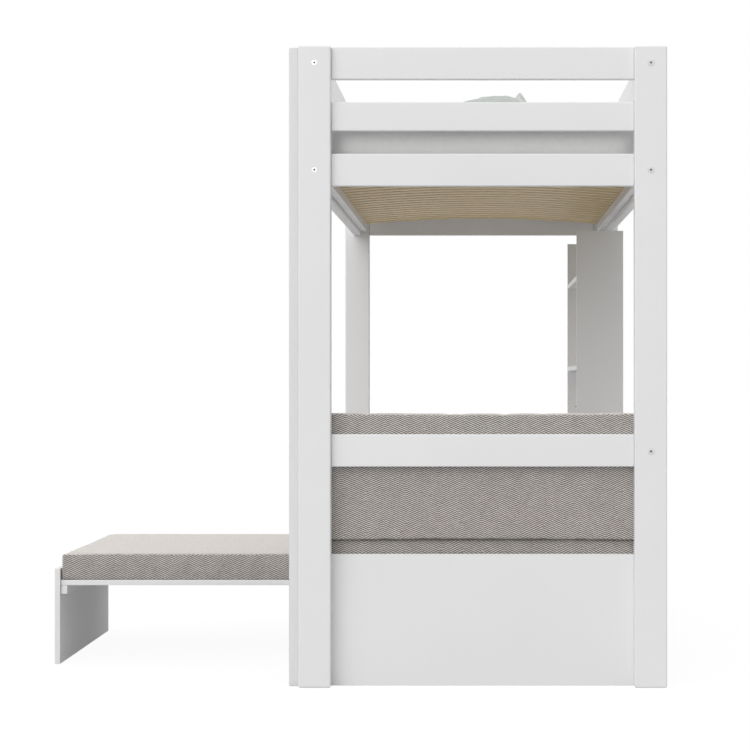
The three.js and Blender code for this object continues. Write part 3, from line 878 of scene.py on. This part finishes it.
class SoftForm:
    """A stuffed form in a box: a cover with two faces across its thickness and a band between them.

    Its grid has a row at edge and at corner from each side of the box, and cells of about cell between.
    """

    def __init__(self, name, low, high, thick=Z, grid=(cushion_edge, cushion_corner, cushion_cell)):
        self.name = name
        self.low, self.high = Vector(low), Vector(high)
        self.thick = thick
        self.one, self.two = (thick + 1) % 3, (thick + 2) % 3
        edge, corner, cell = grid
        self.edge, self.corner = edge, corner
        self.places = []
        for axis in (X, Y, Z):
            reach = edge if axis == thick else corner
            self.places.append(edge_places(self.low[axis], self.high[axis], edge, reach, cell))
        self.ends = [len(along) - 1 for along in self.places]
        self.triples, self.faces = box_grid(self.places)
        self.points = [self.rounded(triple) for triple in self.triples]

    def rounded(self, triple):
        """A grid point on the box with its four corners and its two loops of edges rounded."""
        point = Vector([self.places[axis][triple[axis]] for axis in (X, Y, Z)])
        core = point.copy()
        for axis in (self.one, self.two):
            inner, outer = self.low[axis] + self.corner, self.high[axis] - self.corner
            core[axis] = min(outer, max(inner, point[axis]))
        offset = point - core
        if offset.length < tiny:
            return point
        reach = max(abs(offset[self.one]), abs(offset[self.two]))
        outward = offset.normalized()
        inset = self.corner - reach
        depth = min(point[self.thick] - self.low[self.thick], self.high[self.thick] - point[self.thick])
        if inset < self.edge and depth < self.edge:
            turn = Vector((inset - self.edge, depth - self.edge)).normalized() * self.edge
            inset = self.edge + turn[0]
            lowered = self.edge + turn[1] - depth
            toward = 1 if point[self.thick] - self.low[self.thick] < self.edge else -1
            core[self.thick] += toward * lowered
        return core + outward * (self.corner - inset)

    def share(self, point, axis):
        """Where a point lies along an axis, from -1 to 1."""
        half = (self.high[axis] - self.low[axis]) / 2
        return max(-1.0, min(1.0, (point[axis] - self.low[axis]) / half - 1))

    def crown(self, height):
        """Lowers the upper face all round, so that its middle alone reaches the top of the box."""
        for point in self.points:
            bulge = (1 - self.share(point, self.one) ** 2) * (1 - self.share(point, self.two) ** 2)
            toward = (1 + self.share(point, self.thick)) / 2
            point[self.thick] -= toward * height * (1 - bulge ** crown_power)

    def draw_in(self, depth):
        """Pulls the band in between the corners."""
        one, two = self.one, self.two
        for point in self.points:
            across, along = self.share(point, one), self.share(point, two)
            point[one] -= depth * (1 - along ** 2) * across ** 3
            point[two] -= depth * (1 - across ** 2) * along ** 3

    def on_seam(self, triple):
        def at_end(axis):
            return triple[axis] in (0, self.ends[axis])
        return at_end(self.thick) and (at_end(self.one) or at_end(self.two))

    def near_seam(self, triple, rows):
        """True within some rows of the grid on both sides of a seam."""
        def away(axis):
            return min(triple[axis], self.ends[axis] - triple[axis])
        return away(self.thick) <= rows and min(away(self.one), away(self.two)) <= rows

    def keep_in_box(self):
        for point in self.points:
            for axis in (X, Y, Z):
                point[axis] = min(self.high[axis], max(self.low[axis], point[axis]))

    def shift_seams(self, depth):
        """Moves both seams in towards the filling, or out from it where the depth is negative."""
        for triple, point in zip(self.triples, self.points):
            if self.on_seam(triple):
                middle = point.copy()
                for axis in (X, Y, Z):
                    inner, outer = self.low[axis] + self.edge, self.high[axis] - self.edge
                    middle[axis] = min(outer, max(inner, point[axis]))
                point += (middle - point).normalized() * depth

    def inflate(self, cap):
        """Lets the cover settle over its filling as cloth, with the seams held, by less than cap."""
        piece = add_object(f"{self.name}_rest", self.points, self.faces)
        held = piece.vertex_groups.new(name="seams")
        seams = [index for index, triple in enumerate(self.triples) if self.on_seam(triple)]
        held.add(seams, 1.0, "REPLACE")
        make_cloth(piece, held.name)
        scene = bpy.context.scene
        for number in range(1, cloth_frames + 1):
            scene.frame_set(number)
        settled = piece.evaluated_get(bpy.context.evaluated_depsgraph_get())
        for point, vertex in zip(self.points, settled.data.vertices):
            move = vertex.co - point
            if move.length > tiny:
                point += move.normalized() * cap * math.tanh(move.length / cap)
        scene.frame_set(1)
        mesh = piece.data
        bpy.data.objects.remove(piece)
        bpy.data.meshes.remove(mesh)

    def build(self):
        piece = add_object(self.name, self.points, self.faces)
        smoother = piece.modifiers.new("smooth_cover", "SUBSURF")
        smoother.levels = 1
        smoother.render_levels = 1
        return piece


def finish_soft(piece, node, body, material):
    piece.data.materials.append(material)
    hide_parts(node)
    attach(piece, body)


def add_cushion(node, body, material, crown, thick, rise=0.0):
    low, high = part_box(node)
    high[thick] += rise
    form = SoftForm(f"{node}_cover", low, high, thick=thick)
    form.crown(crown)
    form.draw_in(cushion_draw_in)
    form.inflate(cushion_cap)
    form.keep_in_box()
    form.shift_seams(seam_depth)
    finish_soft(form.build(), node, body, material)


def add_cushions():
    herringbone = herringbone_material()
    for place in ("near", "middle", "far"):
        add_cushion(f"seat_cushion_{place}", "frame", herringbone, seat_crown, Z)
    add_cushion("back_cushion", "frame", herringbone, back_crown, Y)
    add_cushion("bench_cushion", "bench", herringbone, bench_crown, Z, bench_rise)


def add_mattress():
    low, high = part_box("mattress")
    low.y += mattress_end_gap
    high.y -= mattress_end_gap
    grid = (mattress_edge, mattress_corner, mattress_cell)
    form = SoftForm("mattress_cover", low, high, grid=grid)
    form.crown(mattress_crown)
    form.inflate(mattress_cap)
    form.keep_in_box()
    form.shift_seams(-tape_proud)
    piece = form.build()
    finish_soft(piece, "mattress", "frame", ticking_material())
    piece.data.materials.append(tape_material())
    for face in piece.data.polygons:
        taped = all(form.near_seam(form.triples[index], tape_rows) for index in face.vertices)
        face.material_index = int(taped)


def bell(distance, reach):
    return math.exp(-(distance / reach) ** 2)


def pillow_height(across, along):
    """How far the pillow's upper face rises over its seam, as a share, at a place given in shares."""
    mound = max(0.0, 1 - across ** 2) * max(0.0, 1 - along ** 2)
    height = (pillow_mound_share + pillow_lean_share * across) * mound ** pillow_fullness
    for start, reach, drop in pillow_drop_shares:
        ease = max(0.0, min(1.0, (across - start) / reach))
        height *= 1 - drop * ease ** 2 * (3 - 2 * ease)
    fold = across - fold_across_share
    slope = fold / fold_right_share if fold > 0 else -fold / fold_left_share
    height += fold_height_share * max(0.0, 1 - slope) * bell(along - fold_along_share, fold_reach_share)
    notch = across + notch_slant * along - notch_across_share
    notch_depth = notch_share * bell(along - notch_along_share, notch_length_share)
    height -= notch_depth * bell(notch, notch_reach_share)
    lip = (across + lip_slant * along - lip_across_share) / lip_reach_share
    height += lip_share * lip * bell(lip, 1.0) * bell(along - lip_along_share, lip_length_share)
    return height


def add_pillow():
    low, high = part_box("pillow")
    form = SoftForm("pillow_cover", low, high, grid=(pillow_edge, pillow_corner, pillow_cell))
    form.draw_in(pillow_draw_in)
    seam = low.z + pillow_seam_height
    for point in form.points:
        up = (form.share(point, Z) + 1) / 2
        across, along = form.share(point, X), form.share(point, Y)
        rise = max(0.0, 1 - across ** 2) * max(0.0, 1 - along ** 2)
        crumple_place = Vector((point.x * crumple_scale[X], point.y * crumple_scale[Y], crumple_seed))
        crumple = 1 - abs(noise.noise(crumple_place))
        height = pillow_height(across, along) - crumple_share * rise * crumple ** 3
        top = seam + seam_half + (high.z - seam) * height
        bottom = seam - seam_half - (seam - seam_half - low.z) * min(1.0, pillow_belly * rise)
        point.z = bottom + (top - bottom) * up
    form.inflate(pillow_cap)
    for point in form.points:
        point.z = max(low.z, point.z)
    finish_soft(form.build(), "pillow", "frame", cotton_material())


# Bolts and pin holes

def circle(reach, sides):
    """Points round a circle, counter-clockwise."""
    turns = [2 * math.pi * step / sides for step in range(sides)]
    return [(reach * math.cos(turn), reach * math.sin(turn)) for turn in turns]


def hexagon(reach):
    """As many points as round a bolt's head, on a hexagon whose flats lie at reach from its middle."""
    sector = 2 * math.pi / hexagon_sides
    points = []
    for place_x, place_z in circle(reach, bolt_sides):
        within = math.atan2(place_z, place_x) % sector - sector / 2
        points.append((place_x / math.cos(within), place_z / math.cos(within)))
    return points


def add_bolt(name, place, facing, radius, rim, head, dark):
    """A flat bolt head with a hexagonal socket, on a face that looks along -Y or +Y."""
    sections = [
        (circle(radius, bolt_sides), 0.0),
        (circle(radius, bolt_sides), bolt_proud * bolt_side_share),
        (circle(radius - rim, bolt_sides), bolt_proud),
        (hexagon(bolt_socket), bolt_proud),
        (hexagon(bolt_socket), bolt_proud - bolt_socket_depth),
    ]
    rings = []
    for section, out in sections:
        rings.append([(place.x + x, place.y + facing * out, place.z + z) for x, z in section])
    vertices, faces = skin(rings)
    if facing > 0:
        faces = [tuple(reversed(face)) for face in faces]
    bolt = add_object(name, vertices, faces, smooth=False)
    bolt.data.materials.append(head)
    bolt.data.materials.append(dark)
    # The socket's bottom takes the dark hole material: painted shade for the socket's depth
    bolt.data.polygons[len(faces) - 1].material_index = 1
    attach(bolt, "frame")


def add_bolts(dark):
    """Plated heads on the ladder's side, and wider lacquered ones on the wall's side, coloured a little
    darker than the posts as painted shade.
    """
    plated = (plated_bolt_radius, plated_rim, nickel_material())
    # Painted shade: the heads on the wall's side take a darker copy of the lacquer
    shaded_heads = (painted_bolt_radius, painted_rim, lacquer_material("bolt_paint_shaded", bolt_shade_tones))
    levels = {
        "left": (plated, ["guard_rail_front", "side_rail_left"]),
        "right": (shaded_heads, ["guard_rail_back", "side_rail_right", "back_rail_lower"]),
    }
    for end, facing in (("near", -1), ("far", 1)):
        for side, (kind, rails) in levels.items():
            low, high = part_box(f"post_{end}_{side}")
            face_y = low.y if facing < 0 else high.y
            for rail in rails:
                level = middle_of(rail).z - bolt_below_middle
                place = Vector(((low.x + high.x) / 2, face_y, level))
                add_bolt(f"bolt_{end}_{rail}", place, facing, *kind, dark)


def add_pin_holes(dark):
    """Dark discs of painted shade that stand for drilled holes for one more shelf, in the inner faces of
    the bookcase's two panels.
    """
    for end, side in (("near", 1), ("far", -1)):
        low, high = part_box(f"bookcase_panel_{end}")
        face_y = high.y if side > 0 else low.y
        for number, place_x in enumerate((low.x + pin_from_edge, high.x - pin_from_edge)):
            rings = []
            for out in (0.0, pin_proud):
                ring = circle(pin_radius, pin_sides)
                rings.append([(place_x + x, face_y + side * out, pin_height + z) for x, z in ring])
            if side > 0:
                rings = [list(reversed(ring)) for ring in rings]
            hole = add_object(f"pin_hole_{end}_{number + 1}", *skin(rings))
            hole.data.materials.append(dark)
            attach(hole, "frame")


# Stage

def seen_rays(graph):
    """1 for the rays that show the background itself: from the camera, and mirrored or let through."""
    ray = graph.add("ShaderNodeLightPath").outputs
    mirrored = graph.math("MAXIMUM", ray["Is Camera Ray"], ray["Is Glossy Ray"])
    return graph.math("MAXIMUM", mirrored, ray["Is Transmission Ray"])


def mixed_shaders(graph, share, first, second, output):
    """Goes from the first shader to the second as the share goes from 0 to 1, and into the output."""
    mixer = graph.add("ShaderNodeMixShader")
    graph.link(share, mixer.inputs[0])
    graph.link(first.outputs[0], mixer.inputs[1])
    graph.link(second.outputs[0], mixer.inputs[2])
    graph.link(mixer.outputs[0], output.inputs["Surface"])


def add_floor():
    """A pale floor that is seen as white, with a faint shadow under the object."""
    graph = Finish("stage_white")
    corners = [(-floor_reach, -floor_reach), (floor_reach, -floor_reach), (floor_reach, floor_reach),
               (-floor_reach, floor_reach)]
    level = cad_low.z - floor_drop
    floor = add_object("stage_floor", [(x, y, level) for x, y in corners], [(0, 1, 2, 3)], smooth=False)
    graph.set(Base_Color=floor_colour, Roughness=floor_roughness)
    glow = graph.add("ShaderNodeEmission")
    glow.inputs["Strength"].default_value = floor_glow
    share = graph.math("MULTIPLY", seen_rays(graph), floor_glow_share)
    mixed_shaders(graph, share, graph.shader, glow, graph.tree.nodes["Material Output"])
    floor.data.materials.append(graph.material)


def add_world():
    """A soft dome, brightest overhead and a little brighter at both sides of the bed.

    The camera sees plain white, and so do mirrored rays.
    """
    world = bpy.data.worlds.new("studio")
    bpy.context.scene.world = world
    world.use_nodes = True
    graph = Graph(world.node_tree)
    graph.tree.nodes.clear()
    toward = graph.parts(graph.add("ShaderNodeTexCoord").outputs["Generated"])
    height = graph.math("POWER", graph.math("MAXIMUM", toward[Z], 0.0), dome_power)
    overhead = graph.math("MULTIPLY_ADD", height, dome_zenith - dome_horizon, dome_horizon)
    beside = graph.math("ABSOLUTE", toward[X])
    dome = graph.add("ShaderNodeBackground")
    graph.link(graph.math("MULTIPLY_ADD", beside, dome_side, overhead), dome.inputs["Strength"])
    white = graph.add("ShaderNodeBackground")
    white.inputs["Color"].default_value = background_tone
    mixed_shaders(graph, seen_rays(graph), dome, white, graph.add("ShaderNodeOutputWorld"))


def add_lamp():
    """One broad, soft light from the upper left, in front of the bed."""
    light = bpy.data.lights.new("key", "SUN")
    light.energy = key_strength
    light.angle = key_spread
    lamp = bpy.data.objects.new("key", light)
    bpy.context.scene.collection.objects.link(lamp)
    level = math.cos(key_elevation)
    flat_x, flat_y = math.sin(key_azimuth), math.cos(key_azimuth)
    toward = Vector((-flat_x * level, -flat_y * level, math.sin(key_elevation)))
    lamp.rotation_euler = toward.to_track_quat("Z", "Y").to_euler()


def add_camera():
    data = bpy.data.cameras.new("camera")
    data.lens = camera_lens
    data.sensor_width = camera_sensor
    data.shift_x, data.shift_y = camera_shift
    data.clip_end = camera_reach
    camera = bpy.data.objects.new("camera", data)
    bpy.context.scene.collection.objects.link(camera)
    camera.location = camera_place
    camera.rotation_euler = (math.radians(90), 0, 0)
    bpy.context.scene.camera = camera


add_camera()
lacquer = dress_boards()
add_slatted_base(lacquer)
add_cushions()
add_mattress()
add_pillow()
# Painted shade for the bolts' sockets and the pin holes
dark = hole_shade_material()
add_bolts(dark)
add_pin_holes(dark)
add_floor()
add_world()
add_lamp()
bpy.context.scene.view_settings.view_transform = "Standard"
